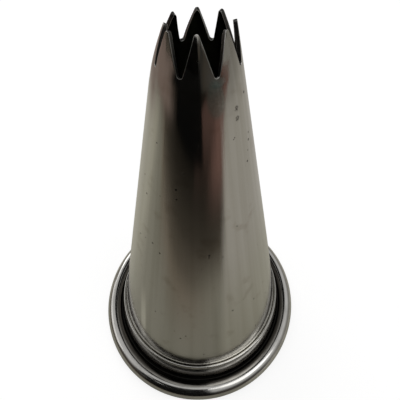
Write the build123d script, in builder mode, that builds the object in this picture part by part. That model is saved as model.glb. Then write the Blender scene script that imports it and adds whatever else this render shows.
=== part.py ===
from build123d import *

import os
from math import acos, atan2, cos, degrees, hypot, pi, sin

# Open-star piping nozzle: a cone of thin steel sheet whose narrow end is cut into teeth, standing
# in a rolled base ring. Sizes are in millimetres. The nozzle's axis is +Z, towards the teeth, and
# z = 0 is the table that the ring rests on. One tooth points along -Y.

# Star cone
cone_sheet = 0.4  # thickness of the sheet
foot_radius = 15.0  # outside of the cone where it stands in the ring
root_radius = 4.3  # outside of the cone at the bottoms of the notches
nozzle_height = 56.5  # from the table to the tips of the teeth
tooth_count = 8
tooth_depth = 3.5  # from the tips down to the bottoms of the notches
bend_drop = 0.8  # from the bottoms of the notches down to where the teeth start to lean in
tip_lean = 0.3  # how far the tips lean in from the cone's straight side
tip_round = 0.2  # rounding of each tip
root_round = 0.3  # rounding at the bottom of each notch

# Base ring
ring_sheet = 0.4  # thickness of the sheet
bead_diameter = 2.7  # the rolled bead, across the outside of the sheet
groove_round = 0.15  # rounding at the bottom of the groove
groove_angle = 23.67  # how far above the bead's middle the groove's rounding lies, in degrees
collar_length = 3.6  # straight stretch of the collar, from the groove up the cone to the lip
lip_round_share = 0.35  # rounding of the collar's lip, as a share of its sheet
seat_clearance = 0.03  # between the collar and the cone

# How far a cutter or a blank runs past what it trims
overrun = 1.0

# The cone's straight side, from its foot on the ring's inner leg to the bottoms of the notches
foot_height = ring_sheet
root_height = nozzle_height - tooth_depth
bend_height = root_height - bend_drop
taper = (foot_radius - root_radius) / (root_height - foot_height)
taper_angle = atan2(taper, 1)
tip_radius = root_radius - taper * tooth_depth - tip_lean
foot_inner_radius = foot_radius - cone_sheet / cos(taper_angle)


def cone_radius(height):
    """Outside radius of the cone's straight side at a height."""
    return foot_radius - taper * (height - foot_height)


# Notch cutter: a V with a rounded bottom, drawn as seen from outside, that meets the next notch's
# cutter over the rounded tip of the tooth between them
half_pitch = pi / tooth_count
tip_x = (tip_radius - cone_sheet / 2) * sin(half_pitch)
root_centre = (0, root_height + root_round)
tip_centre = (tip_x, nozzle_height - tip_round)
centre_rise = tip_centre[1] - root_centre[1]
flank_angle = atan2(centre_rise, tip_x) - acos((root_round + tip_round) / hypot(tip_x, centre_rise))

with BuildPart() as notch:
    with BuildSketch(Plane.XZ):
        with BuildLine():
            root = CenterArc(root_centre, root_round, -90, 90 + degrees(flank_angle))
            crown = CenterArc(tip_centre, tip_round, 180 + degrees(flank_angle), -90 - degrees(flank_angle))
            Line(root @ 1, crown @ 0)
            Polyline(
                crown @ 1,
                (tip_x + overrun, nozzle_height),
                (tip_x + overrun, nozzle_height + overrun),
                (0, nozzle_height + overrun),
                root @ 0,
            )
        make_face()
        mirror(about=Plane.YZ)
    extrude(amount=root_radius + overrun)

# Star cone: the sheet's outer side is drawn from below the foot to above the tips, thickened
# inwards and turned about the axis, then trimmed at the foot and notched
with BuildPart() as star_cone:
    with BuildSketch(Plane.XZ):
        with BuildLine():
            side = Line(
                (cone_radius(foot_height - overrun), foot_height - overrun),
                (cone_radius(bend_height), bend_height),
            )
            tip = Vector(tip_radius, nozzle_height)
            Line(side @ 1, tip + (tip - side @ 1).normalized() * overrun)
            offset(amount=cone_sheet, side=Side.LEFT)
        make_face()
    revolve(axis=Axis.Z)
    split(bisect_by=Plane.XY.offset(foot_height), keep=Keep.TOP)
    with PolarLocations(0, tooth_count, start_angle=degrees(half_pitch)):
        add(notch.part, mode=Mode.SUBTRACT)

# Base ring: one strip of sheet that runs from under the cone's foot, round the bead, down into the
# groove and up along the cone to a lip. Both sides of the sheet turn about the same centres, which
# are worked out here on the outer side
bead_radius = bead_diameter / 2
bead_end = 180 - groove_angle
groove_turn = bead_end - degrees(taper_angle)

# Directions up the collar and straight out of it, and a point beside the cone's foot on the line
# that the middle of the groove's rounding lies on
collar_way = Vector(0, 1).rotate(Axis.Z, degrees(taper_angle))
collar_out = Vector(1, 0).rotate(Axis.Z, degrees(taper_angle))
groove_line = Vector(foot_radius, foot_height) + collar_out * (seat_clearance + ring_sheet + groove_round)

# The groove's rounding touches the collar, and the bead touches the rounding
bead_to_groove = Vector(bead_radius + groove_round, 0).rotate(Axis.Z, bead_end)
groove_rise = bead_radius + bead_to_groove.Y - groove_line.Y
groove_centre = groove_line + collar_way * (groove_rise / collar_way.Y)
bead_centre = groove_centre - bead_to_groove


def sheet_side(depth):
    """One side of the ring's sheet, at a depth below its outer side. Returns its two ends."""
    bead = CenterArc(bead_centre, bead_radius - depth, -90, 90 + bead_end)
    heel = Line((foot_inner_radius, depth), bead @ 0)
    hollow = CenterArc(groove_centre, groove_round + depth, bead_end + 180, -groove_turn)
    collar = Line(hollow @ 1, hollow @ 1 + collar_way * collar_length)
    return heel @ 0, collar @ 1


with BuildPart() as base_ring:
    with BuildSketch(Plane.XZ) as strip:
        with BuildLine():
            outer_ends = sheet_side(0)
            inner_ends = sheet_side(ring_sheet)
            for outer_end, inner_end in zip(outer_ends, inner_ends):
                Line(outer_end, inner_end)
        make_face()
        fillet(strip.vertices().sort_by(Axis.Y)[-2:], lip_round_share * ring_sheet)
    revolve(axis=Axis.Z)

os.makedirs("parts", exist_ok=True)

star_cone.part.label = "star_cone"
export_step(star_cone.part, "parts/star_cone.step")

base_ring.part.label = "base_ring"
export_step(base_ring.part, "parts/base_ring.step")

print("base diameter", round((bead_centre.X + bead_radius) * 2, 3), "height", nozzle_height)
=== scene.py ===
from math import acos, atan2, cos, hypot, pi, radians, sin, sqrt

import bpy
from mathutils import Matrix, Vector


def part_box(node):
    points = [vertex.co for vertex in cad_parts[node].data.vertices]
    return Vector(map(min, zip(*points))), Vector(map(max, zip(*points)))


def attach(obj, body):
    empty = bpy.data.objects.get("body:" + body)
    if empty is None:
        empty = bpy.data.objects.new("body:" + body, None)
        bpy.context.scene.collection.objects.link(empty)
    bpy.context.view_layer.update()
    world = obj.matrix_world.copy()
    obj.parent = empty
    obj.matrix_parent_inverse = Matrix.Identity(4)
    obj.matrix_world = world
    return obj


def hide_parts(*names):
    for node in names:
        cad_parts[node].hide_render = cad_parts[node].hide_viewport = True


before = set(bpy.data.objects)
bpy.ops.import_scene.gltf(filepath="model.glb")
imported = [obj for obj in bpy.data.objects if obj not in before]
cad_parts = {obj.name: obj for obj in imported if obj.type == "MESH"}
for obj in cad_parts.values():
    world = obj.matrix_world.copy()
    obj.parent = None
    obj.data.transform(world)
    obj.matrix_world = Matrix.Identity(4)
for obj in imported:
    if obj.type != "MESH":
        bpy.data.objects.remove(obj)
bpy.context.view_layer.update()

# Camera
# It stands close in front of the teeth, a little above them, and looks steeply down. That makes
# the toothed end large in the picture and the base ring small.
camera_place = Vector((-0.00067, -0.02971, 0.06941))
camera_pitch = radians(45.43)  # below the horizon
camera_yaw = radians(6.21)  # from +Y towards +X
camera_roll = radians(2.65)
photo_size = 400  # pixels each way
photo_focal_length = 345  # in pixels
photo_centre = (219.8, 159.9)  # the pixel that the camera points at
nearest_shown = 0.001

bpy.ops.object.camera_add()
camera = bpy.context.object
camera.name = "camera"
camera.matrix_world = (
    Matrix.Translation(camera_place)
    @ Matrix.Rotation(-camera_yaw, 4, "Z")
    @ Matrix.Rotation(pi / 2 - camera_pitch, 4, "X")
    @ Matrix.Rotation(camera_roll, 4, "Z")
)
camera.data.lens = camera.data.sensor_width * photo_focal_length / photo_size
camera.data.shift_x = 0.5 - photo_centre[0] / photo_size
camera.data.shift_y = photo_centre[1] / photo_size - 0.5
camera.data.clip_start = nearest_shown
bpy.context.scene.camera = camera

# Table and studio
# A plain pale table under soft light. The camera sees the table almost white. The steel sees it as
# the room has it: pale at the sides and behind, dark in front with a painted shadow of the camera and
# its holder, brown far off to the left, and warm in tone further off to the right of the middle.
table_drop = 0.00001  # below the ring's underside
table_size = 2.0
table_white = 0.35
table_glow = 0.78  # added for the camera alone


def deselect_all():
    """Leaves no object selected, so that the next operator acts on the new piece alone."""
    bpy.ops.object.select_all(action="DESELECT")


def add_node(tree, kind, inputs=None, **settings):
    """Adds a node to a tree. An input takes a value, or another node's output to link to it."""
    node = tree.nodes.new(kind)
    for name, value in settings.items():
        setattr(node, name, value)
    for name, value in (inputs or {}).items():
        if isinstance(value, bpy.types.NodeSocket):
            tree.links.new(value, node.inputs[name])
        else:
            node.inputs[name].default_value = value
    return node


def add_math(tree, operation, *values):
    """A Math node's result."""
    return add_node(tree, "ShaderNodeMath", dict(enumerate(values)), operation=operation).outputs[0]


def add_length(tree, vector):
    """How long a vector is."""
    return add_node(tree, "ShaderNodeVectorMath", {0: vector}, operation="LENGTH").outputs["Value"]


def spread(tree, value, start, end, low=0.0, high=1.0):
    """Runs evenly from a low number, where the value is at the start, to a high one at the end."""
    inputs = {"Value": value, "From Min": start, "From Max": end, "To Min": low, "To Max": high}
    return add_node(tree, "ShaderNodeMapRange", inputs).outputs[0]


def fade(tree, value, start, end):
    """Rises smoothly from 0, where the value is at the start, to 1 at the end."""
    inputs = {"Value": value, "From Min": start, "From Max": end}
    return add_node(tree, "ShaderNodeMapRange", inputs, interpolation_type="SMOOTHSTEP").outputs[0]


def both(tree, *masks):
    """Where all of these masks are."""
    product = masks[0]
    for mask in masks[1:]:
        product = add_math(tree, "MULTIPLY", product, mask)
    return product


def mix_colours(tree, share, first, second):
    """The colour that lies a share of the way from the first to the second."""
    node = add_node(tree, "ShaderNodeMix", {0: share, 6: first, 7: second}, data_type="RGBA")
    return node.outputs[2]


def grey(value):
    """An opaque neutral colour."""
    return (value, value, value, 1)


def tone(brightness, tint):
    """An opaque colour of some brightness and tint."""
    return (*(tint * brightness), 1)


def add_tones(tree, share, tones):
    """The colour at a share of the way through a list of places, brightnesses and tints."""
    ramp = add_node(tree, "ShaderNodeValToRGB", {0: share})
    stops = ramp.color_ramp.elements
    stops.remove(stops[-1])
    for position, brightness, tint in tones:
        stops.new(position).color = tone(brightness, tint)
    stops.remove(stops[0])
    return ramp.outputs["Color"]


def add_turn(tree, place):
    """The angle of a place round the nozzle, as a share of a turn from the back."""
    across = add_node(tree, "ShaderNodeSeparateXYZ", {0: place}).outputs
    angle = add_math(tree, "ARCTAN2", across["X"], add_math(tree, "MULTIPLY", across["Y"], -1.0))
    return add_math(tree, "ADD", add_math(tree, "DIVIDE", angle, 2 * pi), 0.5)


def new_material(name):
    """A new node material with an empty tree, and that tree."""
    material = bpy.data.materials.new(name)
    material.use_nodes = True
    material.node_tree.nodes.clear()
    return material, material.node_tree


# Tones of the table from behind the nozzle to the front, each at a share of the way. Their darkening
# towards the front is painted shadow.
pale = Vector((1.05, 1.01, 0.94))
straw = Vector((1.05, 1.02, 0.87))
olive = Vector((1.17, 1.01, 0.82))
brown = Vector((1.22, 0.94, 0.84))
rust = Vector((1.44, 0.84, 0.72))
front_reach = 0.120  # from the axis to each end of the way
front_shadow_tones = [
    (0.00, 0.78, pale),
    (0.46, 0.60, straw),
    (0.52, 0.42, straw),
    (0.58, 0.36, straw),
    (0.63, 0.26, olive),
    (0.66, 0.15, olive),
    (0.72, 0.072, olive),
    (0.80, 0.040, olive),
    (0.92, 0.018, olive),
]

# Patches of other tones on it. Each fades in over a stretch of distances from the axis, and over a
# stretch of angles or bearings, in degrees from the front towards the right. A bearing is an angle
# less a turn that grows with the distance.
bearing_turn = 12.0  # degrees to each doubling of the distance
bearing_distance = 0.1  # where a bearing is the same as the angle
# The dim patch is painted shade
dim_distances = (0.08, 0.20)
dim_angles = (-40, -80)
dim_strength = 0.65
dim_tone = tone(0.06, olive)
left_end_distances = (0.125, 0.185)
left_end_angles = (-46, -72)
left_back_distances = (0.08, 0.13)
left_back_angles = (-95, -125)
left_back_strength = 0.8
left_tone = tone(0.27, brown)
warm_distances = (0.055, 0.105)
warm_bearings = (6, 34)
warm_edge_distances = (0.06, 0.18)
warm_edge_bearings = (-11, -7)
warm_edge_strength = 0.5
warm_tone = tone(0.19, rust)
near_right_distances = (0.052, 0.030)
near_right_bearings = (-10, 45)
near_right_tone = tone(0.40, straw)
right_bearings = (38, 50)
right_tones = [tone(0.54, straw), tone(0.62, pale), tone(0.45, pale)]  # from near to far
right_distances = [(0.020, 0.048), (0.09, 0.25)]  # where each gives way to the next


def patch(tree, distance, distances, turn, turns, strength=1.0):
    """Where a patch of the table lies, by its distances and by its angles or bearings."""
    return both(tree, fade(tree, distance, *distances), fade(tree, turn, *turns), strength)


deselect_all()
bpy.ops.mesh.primitive_plane_add(size=table_size, location=(0, 0, -table_drop))
table = bpy.context.object
table.name = "table_top"
table_material, tree = new_material("pale_table")
place = add_node(tree, "ShaderNodeTexCoord").outputs["Object"]
distance = add_length(tree, place)
angle = add_math(tree, "MULTIPLY", add_math(tree, "SUBTRACT", add_turn(tree, place), 0.5), 360.0)
doublings = add_math(tree, "LOGARITHM", add_math(tree, "DIVIDE", distance, bearing_distance), 2.0)
bearing = add_math(tree, "SUBTRACT", angle, add_math(tree, "MULTIPLY", doublings, bearing_turn))

across = add_node(tree, "ShaderNodeSeparateXYZ", {0: place}).outputs
forward = add_math(tree, "MULTIPLY", across["Y"], -1.0)
front_share = spread(tree, forward, -front_reach, front_reach)
seen_by_steel = add_tones(tree, front_share, front_shadow_tones)

dim_area = patch(tree, distance, dim_distances, angle, dim_angles, dim_strength)
seen_by_steel = mix_colours(tree, dim_area, seen_by_steel, dim_tone)

left_end = patch(tree, distance, left_end_distances, angle, left_end_angles)
left_back = patch(tree, distance, left_back_distances, angle, left_back_angles, left_back_strength)
left_area = add_math(tree, "MAXIMUM", left_end, left_back)
seen_by_steel = mix_colours(tree, left_area, seen_by_steel, left_tone)

warm_middle = patch(tree, distance, warm_distances, bearing, warm_bearings)
warm_edge = patch(tree, distance, warm_edge_distances, bearing, warm_edge_bearings, warm_edge_strength)
warm_area = add_math(tree, "MAXIMUM", warm_middle, warm_edge)
seen_by_steel = mix_colours(tree, warm_area, seen_by_steel, warm_tone)

near_right_area = patch(tree, distance, near_right_distances, bearing, near_right_bearings)
seen_by_steel = mix_colours(tree, near_right_area, seen_by_steel, near_right_tone)

right_side = right_tones[0]
for distances, further_tone in zip(right_distances, right_tones[1:]):
    right_side = mix_colours(tree, fade(tree, distance, *distances), right_side, further_tone)
right_area = fade(tree, bearing, *right_bearings)
seen_by_steel = mix_colours(tree, right_area, seen_by_steel, right_side)

seen_by_camera = add_node(tree, "ShaderNodeLightPath").outputs["Is Camera Ray"]
table_colour = mix_colours(tree, seen_by_camera, seen_by_steel, grey(table_white))
matt = add_node(tree, "ShaderNodeBsdfDiffuse", {"Color": table_colour})
glow_strength = add_math(tree, "MULTIPLY", seen_by_camera, table_glow)
glow = add_node(tree, "ShaderNodeEmission", {"Strength": glow_strength})
surface = add_node(tree, "ShaderNodeAddShader", {0: matt.outputs[0], 1: glow.outputs[0]})
add_node(tree, "ShaderNodeOutputMaterial", {"Surface": surface.outputs[0]})
table.data.materials.append(table_material)

# The room is pale above, and its horizon, given by share of a turn from the back, goes on as the
# table's far side does
room_light = 0.65
horizon_top = sin(radians(20))
room_bottom = sin(radians(55))
horizon_tones = [
    (0.11, 0.25, pale),
    (0.22, 0.11, olive),
    (0.28, 0.07, olive),
    (0.33, 0.05, olive),
    (0.37, 0.02, olive),
    (0.50, 0.012, pale),
    (0.525, 0.03, pale),
    (0.54, 0.045, olive),
    (0.61, 0.065, pale),
    (0.64, 0.10, pale),
    (0.67, 0.24, pale),
    (0.90, 0.25, pale),
]
world = bpy.data.worlds.new("pale_room")
world.use_nodes = True
tree = world.node_tree
direction = add_node(tree, "ShaderNodeTexCoord").outputs["Generated"]
height = add_node(tree, "ShaderNodeSeparateXYZ", {0: direction}).outputs["Z"]
horizon = add_tones(tree, add_turn(tree, direction), horizon_tones)
light = mix_colours(tree, fade(tree, height, horizon_top, room_bottom), horizon, grey(room_light))
tree.links.new(light, tree.nodes["Background"].inputs["Color"])
bpy.context.scene.world = world

# Black cards keep the steel dark towards the camera
card_black = grey(0.012)
card_level = 0.066  # of the card just under the camera, and of the near edge of the one above
over_height = 0.150
over_lean = 30  # degrees
over_middle = Vector((0, cos(radians(over_lean)), sin(radians(over_lean)))) * over_height / 2

card_material, tree = new_material("dark_cloth")
surface = add_node(tree, "ShaderNodeBsdfDiffuse", {"Color": card_black})
add_node(tree, "ShaderNodeOutputMaterial", {"Surface": surface.outputs[0]})


def add_dark_card(name, width, height, place, lean):
    """A black card that only the steel sees, raised so many degrees from lying flat."""
    deselect_all()
    bpy.ops.mesh.primitive_plane_add(size=1)
    card = bpy.context.object
    card.name = name
    card.data.transform(
        Matrix.Translation(place)
        @ Matrix.Rotation(radians(lean), 4, "X")
        @ Matrix.Diagonal((width, height, 1, 1))
    )
    card.visible_camera = False
    card.visible_shadow = False
    card.visible_diffuse = False
    card.data.materials.append(card_material)


add_dark_card("dark_card_in_front", width=0.110, height=0.130, place=(-0.045, -0.095, 0.070), lean=90)
add_dark_card("dark_card_at_left", width=0.070, height=0.160, place=(-0.125, -0.095, 0.160), lean=90)
add_dark_card(
    "dark_card_under_camera", width=0.040, height=0.071, place=(-0.0165, -0.0595, card_level), lean=0
)
add_dark_card(
    "dark_card_above",
    width=0.040,
    height=over_height,
    place=over_middle + Vector((0, 0, card_level)),
    lean=over_lean,
)


def add_softbox(name, place, width, height, brightness):
    """A soft light that faces the nozzle. Its brightness is that of its face, whatever its size."""
    bpy.ops.object.light_add(type="AREA", location=place)
    softbox = bpy.context.object
    softbox.name = name
    softbox.rotation_euler = Vector(place).to_track_quat("Z", "Y").to_euler()
    softbox.data.shape = "RECTANGLE"
    softbox.data.size = width
    softbox.data.size_y = height
    softbox.data.energy = brightness * pi * width * height
    softbox.visible_camera = False


add_softbox("right_softbox", place=(0.155, -0.108, 0.517), width=0.26, height=0.26, brightness=1.4)
add_softbox("left_softbox", place=(-0.45, 0.10, 0.30), width=0.40, height=0.20, brightness=0.7)
add_softbox("rear_softbox", place=(-0.20, 0.45, 0.35), width=0.40, height=0.25, brightness=1.8)

bpy.context.scene.view_settings.view_transform = "Standard"

# Star cone
# A thin stainless sheet drawn into a tapered tube, 0.4 mm thick. Its narrow end is punched with
# eight notches, and the teeth left between them are pressed in a little.
cone_low, cone_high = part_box("star_cone")
foot_radius = cone_high.x
foot_height = cone_low.z
nozzle_height = cone_high.z
cone_sheet = 0.0004
root_radius = 0.0043
tooth_count = 8
tooth_depth = 0.0035
bend_drop = 0.0008
tip_lean = 0.0003
tip_round = 0.0002
root_round = 0.0003
columns_per_tooth = 48
wall_rows = 30
tooth_rows = 6
same_place = 0.000001  # vertices closer than this are one

root_height = nozzle_height - tooth_depth
bend_height = root_height - bend_drop
taper = (foot_radius - root_radius) / (root_height - foot_height)
bend_radius = foot_radius - taper * (bend_height - foot_height)
tip_radius = root_radius - taper * tooth_depth
half_pitch = pi / tooth_count


def select_vertices(piece, wanted):
    """Selects the vertices of a piece whose places pass a test, in edit mode."""
    bpy.ops.object.mode_set(mode="OBJECT")
    mesh = piece.data
    for vertex in mesh.vertices:
        vertex.select = wanted(vertex.co)
    for part in (*mesh.edges, *mesh.polygons):
        part.select = all(mesh.vertices[index].select for index in part.vertices)
    bpy.ops.object.mode_set(mode="EDIT")


def draw_up(rim):
    """Draws the selected rim of a wall through each radius and height in turn."""
    for (radius, height), (next_radius, next_height) in zip(rim, rim[1:]):
        rise = (0, 0, next_height - height)
        growth = next_radius / radius
        bpy.ops.mesh.extrude_region_move(TRANSFORM_OT_translate={"value": rise})
        bpy.ops.transform.resize(value=(growth, growth, 1), center_override=(0, 0, next_height))


def rows_to(start, end, rows):
    """The radius and height of each row of a straight wall, from its start to its end."""
    return [tuple(a + (b - a) * row / rows for a, b in zip(start, end)) for row in range(rows + 1)]


def angle_of(place):
    """Angle of a point round the nozzle, from the front towards the nozzle's right."""
    return atan2(place.x, -place.y)


# The notch as seen from outside: a rounded root, a straight flank and a rounded tip
tip_x = tip_radius * sin(half_pitch)
root_middle = root_height + root_round
tip_middle = nozzle_height - tip_round
slant = atan2(tip_middle - root_middle, tip_x)
slant -= acos((root_round + tip_round) / hypot(tip_x, tip_middle - root_middle))
flank_start = Vector((root_round * cos(slant), root_middle + root_round * sin(slant)))
flank_end = Vector((tip_x - tip_round * cos(slant), tip_middle - tip_round * sin(slant)))
share_rounds = 12  # rounds of working out a tooth's share, each closer than the last


def cut_height(x):
    """Height of the cut edge at a distance from the middle of a notch."""
    if x < flank_start.x:
        return root_middle - sqrt(root_round**2 - x**2)
    if x < flank_end.x:
        return flank_start.lerp(flank_end, (x - flank_start.x) / (flank_end.x - flank_start.x)).y
    if x < tip_x:
        return tip_middle + sqrt(tip_round**2 - (tip_x - x) ** 2)
    return nozzle_height


def tooth_share(angle):
    """How much of the wall above the bend is left at an angle from the middle of a tooth."""
    share = 0.5
    for _ in range(share_rounds):
        radius = bend_radius + (tip_radius - bend_radius) * share
        cut = cut_height(radius * sin(half_pitch - abs(angle)))
        share = (cut - bend_height) / (nozzle_height - bend_height)
    return share


# One tooth's share of the sheet: an arc of the foot, drawn up to the bend and on to the tips
deselect_all()
bpy.ops.mesh.primitive_circle_add(
    vertices=tooth_count * columns_per_tooth, radius=foot_radius, location=(0, 0, foot_height)
)
cone = bpy.context.object
cone.name = "star_cone_steel"
bpy.ops.object.transform_apply(location=True)
half_column = half_pitch / columns_per_tooth
select_vertices(cone, lambda place: abs(angle_of(place)) > half_pitch + half_column)
bpy.ops.mesh.delete(type="VERT")
bpy.ops.mesh.select_all(action="SELECT")
foot, bend = (foot_radius, foot_height), (bend_radius, bend_height)
draw_up(rows_to(foot, bend, wall_rows))
draw_up(rows_to(bend, (tip_radius, nozzle_height), tooth_rows))

# Each column above the bend is shortened to the notch's outline
for column in range(columns_per_tooth + 1):
    angle = half_pitch * (2 * column / columns_per_tooth - 1)
    hinge = (bend_radius * sin(angle), -bend_radius * cos(angle), bend_height)
    select_vertices(
        cone,
        lambda place: place.z > bend_height + same_place and abs(angle_of(place) - angle) < half_column,
    )
    bpy.ops.transform.resize(value=(tooth_share(angle),) * 3, center_override=hinge)

# The other seven teeth are copies, turned about the axis
bpy.ops.mesh.select_all(action="SELECT")
bpy.ops.mesh.spin(
    steps=tooth_count - 1,
    dupli=True,
    angle=2 * pi * (tooth_count - 1) / tooth_count,
    center=(0, 0, 0),
    axis=(0, 0, 1),
)
bpy.ops.mesh.select_all(action="SELECT")
bpy.ops.mesh.remove_doubles(threshold=same_place)
bpy.ops.mesh.normals_make_consistent(inside=False)

# The teeth are pressed in along a gentle curve, and use has bent each a little its own way. Beside
# a tooth's angle, in degrees, stands how far its tip has moved out, round and up from there.
tip_shifts = [
    (0, -0.00060, -0.00011, 0),
    (45, -0.00025, 0.00045, 0),
    (90, 0.00028, 0.00030, 0),
    (135, 0.00024, 0.00008, 0),
    (180, -0.00034, -0.00009, 0),
    (-135, -0.00040, 0.00020, 0),
    (-90, -0.00038, 0, -0.00018),
    (-45, -0.00004, -0.00035, 0),
]
tip_reach = 0.0002  # how far down from the tips the moved vertices lie
bend_reach = 0.0060  # how far from a tip its tooth starts to bend
for degrees_round, outwards, sideways, upwards in tip_shifts:
    angle = radians(degrees_round)
    out = Vector((sin(angle), -cos(angle), 0))
    side = Vector((cos(angle), sin(angle), 0))
    select_vertices(
        cone,
        lambda place: place.z > nozzle_height - tip_reach and place.xy.angle(out.xy) < half_pitch,
    )
    bpy.ops.transform.translate(
        value=out * (outwards - tip_lean) + side * sideways + Vector((0, 0, upwards)),
        use_proportional_edit=True,
        use_proportional_connected=True,
        proportional_edit_falloff="SHARP",
        proportional_size=bend_reach,
    )
bpy.ops.object.mode_set(mode="OBJECT")

# Drawn steel: bright, warm grey, with fine marks that run up the sheet, a cloudy skin, old stains
# and a few pits
steel_grey = (0.57, 0.555, 0.51, 1)
dull_grey = (0.47, 0.455, 0.40, 1)
dull_strength = 0.6
stain_brown = (0.30, 0.26, 0.20, 1)
stain_strength = 0.30
pit_black = (0.10, 0.092, 0.08, 1)
steel_roughness = (0.085, 0.125)  # over the clouds of the skin

# Scales of the patterns, to the metre. The first of a pair is to the radian round the nozzle.
fine_mark_scales = (60.0, 25.0)
broad_mark_scales = (9.0, 20.0)
grain_scale = 2600.0
cloud_scale = 240.0
stain_scale = 420.0
pit_scale = 1150.0
pit_share = 0.17  # reach of the widest pit, as a share of the way from pit to pit

# Levels of each pattern's noise, from where it starts to where it is full
dull_levels = (0.35, 0.68)
stain_levels = (0.56, 0.74)
pit_levels = (0.78, 1.0)
skin_levels = (0.35, 0.65)

# Heights of the bumps, in thousandths of a millimetre
bump_unit = 0.000001
fine_mark_height = 1.6
broad_mark_height = 9.0
grain_height = 1.0
cloud_height = 3.0
pit_height = -8.0
speckle_height = 0.8


def add_vector(tree, operation, *values):
    """A Vector Math node's vector."""
    inputs = dict(enumerate(values))
    return add_node(tree, "ShaderNodeVectorMath", inputs, operation=operation).outputs["Vector"]


def add_noise(tree, place, scale, detail):
    """Cloudy noise between 0 and 1."""
    inputs = {"Vector": place, "Scale": scale, "Detail": detail}
    return add_node(tree, "ShaderNodeTexNoise", inputs).outputs["Fac"]


def place_round(tree, place, round_scale, height_scale):
    """Coordinates that run round the nozzle's axis and up it at different rates."""
    level = add_vector(tree, "MULTIPLY", place, (1, 1, 0))
    outwards = add_vector(tree, "NORMALIZE", level)
    turned = add_vector(tree, "MULTIPLY", outwards, (round_scale, round_scale, 0))
    raised = add_vector(tree, "MULTIPLY", place, (0, 0, height_scale))
    return add_vector(tree, "ADD", turned, raised)


def finish_steel(tree, colour, roughness, *bump_layers):
    """A metal surface, with bumps that add up these layers, each a mask and its height."""
    inputs = {"Base Color": colour, "Metallic": 1.0, "Roughness": roughness}
    if bump_layers:
        total = 0.0
        for mask, height in bump_layers:
            layer = {0: mask, 1: height, 2: total}
            total = add_node(tree, "ShaderNodeMath", layer, operation="MULTIPLY_ADD").outputs[0]
        bump = add_node(tree, "ShaderNodeBump", {"Height": total, "Distance": bump_unit})
        inputs["Normal"] = bump.outputs["Normal"]
    surface = add_node(tree, "ShaderNodeBsdfPrincipled", inputs)
    add_node(tree, "ShaderNodeOutputMaterial", {"Surface": surface.outputs[0]})


drawn_steel, tree = new_material("drawn_steel")
place = add_node(tree, "ShaderNodeTexCoord").outputs["Object"]
fine_marks = add_noise(tree, place_round(tree, place, *fine_mark_scales), scale=1.0, detail=3.0)
broad_marks = add_noise(tree, place_round(tree, place, *broad_mark_scales), scale=1.0, detail=3.0)
grain = add_noise(tree, place, grain_scale, detail=3.0)
clouds = add_noise(tree, place, cloud_scale, detail=4.0)
stains = fade(tree, add_noise(tree, place, stain_scale, detail=5.0), *stain_levels)
dull_area = add_math(tree, "MULTIPLY", fade(tree, broad_marks, *dull_levels), dull_strength)
stain_area = add_math(tree, "MULTIPLY", stains, stain_strength)

pits = add_node(tree, "ShaderNodeTexVoronoi", {"Vector": place, "Scale": pit_scale}).outputs
pit_sizes = add_node(tree, "ShaderNodeSeparateColor", {0: pits["Color"]}).outputs[0]
pit_reach = add_math(tree, "MULTIPLY", fade(tree, pit_sizes, *pit_levels), pit_share)
pit_area = add_math(tree, "LESS_THAN", pits["Distance"], pit_reach)

# Under the teeth on the right lies a patch of speckles, taller than it is wide
speckle_dark = (0.37, 0.47, 0.44, 1)
speckle_light = (0.50, 0.62, 0.57, 1)
speckle_middle = (0.00152, -0.00438, 0.0512)
speckle_squeeze = (1, 1, 0.42)
speckle_reach = (0.00105, 0.00065)  # where the patch starts, and where it is solid
speckle_scale = 7500.0
speckle_levels = (0.45, 0.62)
speckle_roughness = 0.10
speckle_offset = add_vector(tree, "SUBTRACT", place, speckle_middle)
speckle_distance = add_length(tree, add_vector(tree, "MULTIPLY", speckle_offset, speckle_squeeze))
speckle_area = fade(tree, speckle_distance, *speckle_reach)
speckles = fade(tree, add_noise(tree, place, speckle_scale, detail=2.0), *speckle_levels)
speckle_colour = mix_colours(tree, speckles, speckle_dark, speckle_light)

# Low on the left, a painted highlight brightens a streak of the sheet. It runs along the line through
# two points, and fades out away from that line, towards its top and towards its bottom.
painted_highlight_white = (0.92, 0.90, 0.84, 1)
painted_highlight_low = Vector((-0.0100, -0.0093, 0.0070))
painted_highlight_high = Vector((-0.0085, -0.0069, 0.0202))
painted_highlight_reach = (0.00085, 0.00025)
painted_highlight_top = (0.0220, 0.0120)
painted_highlight_bottom = (0.0060, 0.0080)
painted_highlight_offset = add_vector(tree, "SUBTRACT", place, painted_highlight_low)
painted_highlight_way = (painted_highlight_high - painted_highlight_low).normalized()
painted_highlight_distance = add_length(tree, add_vector(tree, "CROSS_PRODUCT", painted_highlight_offset, painted_highlight_way))
painted_highlight_height = add_node(tree, "ShaderNodeSeparateXYZ", {0: place}).outputs["Z"]
painted_highlight_area = both(
    tree,
    fade(tree, painted_highlight_distance, *painted_highlight_reach),
    fade(tree, painted_highlight_height, *painted_highlight_top),
    fade(tree, painted_highlight_height, *painted_highlight_bottom),
)

# High on the right, two spots have corroded
corroded_places = [(0.00354, -0.00353, 0.04958), (0.00369, -0.00369, 0.04849)]
corroded_reach = (0.00042, 0.00012)
corroded_scale = 5200.0
corroded_levels = (0.40, 0.56)
spots = 0.0
for middle in corroded_places:
    spot_distance = add_length(tree, add_vector(tree, "SUBTRACT", place, middle))
    spots = add_math(tree, "MAXIMUM", fade(tree, spot_distance, *corroded_reach), spots)
corrosion = fade(tree, add_noise(tree, place, corroded_scale, detail=2.0), *corroded_levels)
corroded_area = both(tree, spots, corrosion)

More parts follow.
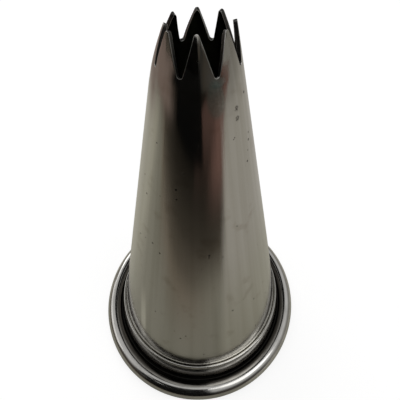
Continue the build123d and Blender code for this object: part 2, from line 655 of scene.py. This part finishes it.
colour = mix_colours(tree, dull_area, steel_grey, dull_grey)
colour = mix_colours(tree, stain_area, colour, stain_brown)
colour = mix_colours(tree, speckle_area, colour, speckle_colour)
# The painted highlight streak
colour = mix_colours(tree, painted_highlight_area, colour, painted_highlight_white)
colour = mix_colours(tree, corroded_area, colour, pit_black)
colour = mix_colours(tree, pit_area, colour, pit_black)
roughness = spread(tree, clouds, *skin_levels, *steel_roughness)
roughness = add_math(
    tree, "ADD", roughness, add_math(tree, "MULTIPLY", speckle_area, speckle_roughness)
)
finish_steel(
    tree,
    colour,
    roughness,
    (fine_marks, fine_mark_height),
    (broad_marks, broad_mark_height),
    (grain, grain_height),
    (clouds, cloud_height),
    (pit_area, pit_height),
    (speckles, speckle_height),
)
cone.data.materials.append(drawn_steel)

# Punched steel, on the cut edges: rougher, with the punch's own fine marks, and darkened with painted
# shade
punch_shade_dark = (0.07, 0.068, 0.063, 1)
punch_shade_light = (0.14, 0.137, 0.13, 1)
punch_scale = 5200.0
punch_height = 3.0
punch_roughness = 0.30
punched_steel, tree = new_material("punched_steel")
place = add_node(tree, "ShaderNodeTexCoord").outputs["Object"]
punch_marks = add_noise(tree, place, punch_scale, detail=3.0)
colour = mix_colours(tree, punch_marks, punch_shade_dark, punch_shade_light)
finish_steel(tree, colour, punch_roughness, (punch_marks, punch_height))
cone.data.materials.append(punched_steel)

# Worn steel, on the arrises, which handling and washing have rubbed bright
worn_white = (0.86, 0.85, 0.82, 1)
worn_roughness = 0.36
worn_steel, tree = new_material("worn_steel")
finish_steel(tree, worn_white, worn_roughness)
cone.data.materials.append(worn_steel)

# The sheet gets its thickness inwards, and its cut edges are eased
smooth_angle = radians(30)
cut_round = 0.00005
cut_angle = radians(40)
cut_segments = 2
punched_slot = 1
worn_slot = 2


def thicken(piece, sheet, edge_round, edge_angle, segments, rim_slot=0, edge_slot=-1):
    """Gives a sheet its thickness inwards and eases its cut edges, which may have their own slots."""
    thickness = piece.modifiers.new("sheet", "SOLIDIFY")
    thickness.thickness = sheet
    thickness.offset = -1
    thickness.use_even_offset = True
    thickness.use_quality_normals = True
    thickness.material_offset_rim = rim_slot
    eased = piece.modifiers.new("eased_edges", "BEVEL")
    eased.width = edge_round
    eased.segments = segments
    eased.limit_method = "ANGLE"
    eased.angle_limit = edge_angle
    eased.material = edge_slot
    deselect_all()
    piece.select_set(True)
    bpy.context.view_layer.objects.active = piece
    bpy.ops.object.modifier_apply(modifier="sheet")
    bpy.ops.object.modifier_apply(modifier="eased_edges")
    bpy.ops.object.shade_smooth_by_angle(angle=smooth_angle)


thicken(cone, cone_sheet, cut_round, cut_angle, cut_segments, punched_slot, worn_slot)

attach(cone, "root")
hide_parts("star_cone")

# Base ring
# One strip of the same sheet, rolled into a fat hollow bead on a spinning lathe. Its inner edge
# runs under the cone's foot, and its outer edge comes back up as a collar that grips the cone.
ring_sheet = 0.0004
bead_diameter = 0.0027
groove_round = 0.00015
groove_angle = radians(23.67)
collar_length = 0.0036
lip_round = 0.00014
lip_angle = radians(60)
lip_segments = 4
seat_clearance = 0.00003
ring_columns = 256
bead_steps = 40
groove_steps = 8

taper_angle = atan2(taper, 1)
bead_radius = bead_diameter / 2
bead_end = pi - groove_angle

# The groove's rounding touches the bead and the collar, which runs up along the cone
collar_way = Vector((-sin(taper_angle), cos(taper_angle)))
collar_out = Vector((cos(taper_angle), sin(taper_angle)))
collar_stand_off = seat_clearance + ring_sheet + groove_round
groove_line = Vector((foot_radius, foot_height)) + collar_out * collar_stand_off
bead_to_groove = Vector((cos(bead_end), sin(bead_end))) * (bead_radius + groove_round)
groove_rise = bead_radius + bead_to_groove.y - groove_line.y
groove_centre = groove_line + collar_way * (groove_rise / collar_way.y)
bead_centre = groove_centre - bead_to_groove


def arc(centre, radius, start, turn, steps):
    """Radii and heights of the points of an arc in the ring's section."""
    angles = [start + turn * step / steps for step in range(steps + 1)]
    return [(centre.x + radius * cos(angle), centre.y + radius * sin(angle)) for angle in angles]


section = [(foot_radius - cone_sheet / cos(taper_angle), 0)]
section += arc(bead_centre, bead_radius, -pi / 2, pi / 2 + bead_end, bead_steps)
section += arc(groove_centre, groove_round, bead_end + pi, taper_angle - bead_end, groove_steps)
section.append(tuple(Vector(section[-1]) + collar_way * collar_length))

deselect_all()
bpy.ops.mesh.primitive_circle_add(vertices=ring_columns, radius=section[0][0])
ring = bpy.context.object
ring.name = "base_ring_steel"
bpy.ops.object.mode_set(mode="EDIT")
bpy.ops.mesh.select_all(action="SELECT")
draw_up(section)
bpy.ops.mesh.select_all(action="SELECT")
bpy.ops.mesh.remove_doubles(threshold=same_place)
bpy.ops.mesh.normals_make_consistent(inside=False)
bpy.ops.object.mode_set(mode="OBJECT")
thicken(ring, ring_sheet, lip_round, lip_angle, lip_segments)

# Spun steel: burnished by the roller, with fine marks that run round the ring, a cloudy skin, black
# painted shade down in the groove, and a thinner grey painted shade on either side of it
spun_bright = (0.62, 0.61, 0.585, 1)
spun_dull = (0.52, 0.51, 0.485, 1)
# The black and the grey below are painted shade
groove_shade_black = (0.020, 0.019, 0.017, 1)
side_shade_grey = (0.20, 0.19, 0.175, 1)
spun_roughness = (0.10, 0.18)
groove_shade_roughness = 0.4
section_scales = (9000, 9000, 0)  # of the spun marks, to the metre across the ring's section
round_scale = 1.5  # and to the radian round it
ring_cloud_scale = 330.0
spun_dull_levels = (0.35, 0.70)
spun_skin_levels = (0.3, 0.7)
spin_mark_height = 0.7
ring_cloud_height = 4.0
groove_shade_height = 6.0

# How far the painted shade in the groove and the grey painted shade beside it reach from the middle
# of the groove's rounding. Heights count more than widths for the shade in the groove, and less for the
# shade beside it.
groove_shade_stretch = 1.8
groove_shade_reach = (0.00070, 0.00035)  # where it starts, and where it is solid
side_shade_stretch = 0.45
side_shade_reach = (0.00185, 0.00050)
uneven_scale = 700.0
uneven_reach = 0.0005  # how far their edges wander

spun_steel, tree = new_material("spun_steel")
place = add_node(tree, "ShaderNodeTexCoord").outputs["Object"]
radius = add_length(tree, add_vector(tree, "MULTIPLY", place, (1, 1, 0)))
height = add_node(tree, "ShaderNodeSeparateXYZ", {0: place}).outputs["Z"]
section_place = add_node(tree, "ShaderNodeCombineXYZ", {0: radius, 1: height}).outputs[0]
across_marks = add_vector(tree, "MULTIPLY", section_place, section_scales)
marks_place = add_vector(tree, "ADD", across_marks, place_round(tree, place, round_scale, 0.0))
spin_marks = add_noise(tree, marks_place, scale=1.0, detail=3.0)
ring_clouds = add_noise(tree, place, ring_cloud_scale, detail=4.0)
groove_offset = add_vector(tree, "SUBTRACT", section_place, (*groove_centre, 0))
edge_noise = add_math(tree, "SUBTRACT", add_noise(tree, place, uneven_scale, detail=3.0), 0.5)
uneven = add_math(tree, "MULTIPLY", edge_noise, uneven_reach)


def groove_area(tree, stretch, reach):
    """Where something lies in and round the groove, with an uneven edge."""
    stretched = add_vector(tree, "MULTIPLY", groove_offset, (1, stretch, 0))
    return fade(tree, add_math(tree, "ADD", add_length(tree, stretched), uneven), *reach)


# Painted shade: black in the groove, grey beside it
groove_shade = groove_area(tree, groove_shade_stretch, groove_shade_reach)
side_shade = groove_area(tree, side_shade_stretch, side_shade_reach)
colour = mix_colours(tree, fade(tree, ring_clouds, *spun_dull_levels), spun_bright, spun_dull)
colour = mix_colours(tree, side_shade, colour, side_shade_grey)
colour = mix_colours(tree, groove_shade, colour, groove_shade_black)
roughness = spread(tree, ring_clouds, *spun_skin_levels, *spun_roughness)
roughness = add_math(tree, "ADD", roughness, add_math(tree, "MULTIPLY", groove_shade, groove_shade_roughness))
finish_steel(
    tree,
    colour,
    roughness,
    (spin_marks, spin_mark_height),
    (ring_clouds, ring_cloud_height),
    (groove_shade, groove_shade_height),
)
ring.data.materials.append(spun_steel)

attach(ring, "root")
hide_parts("base_ring")
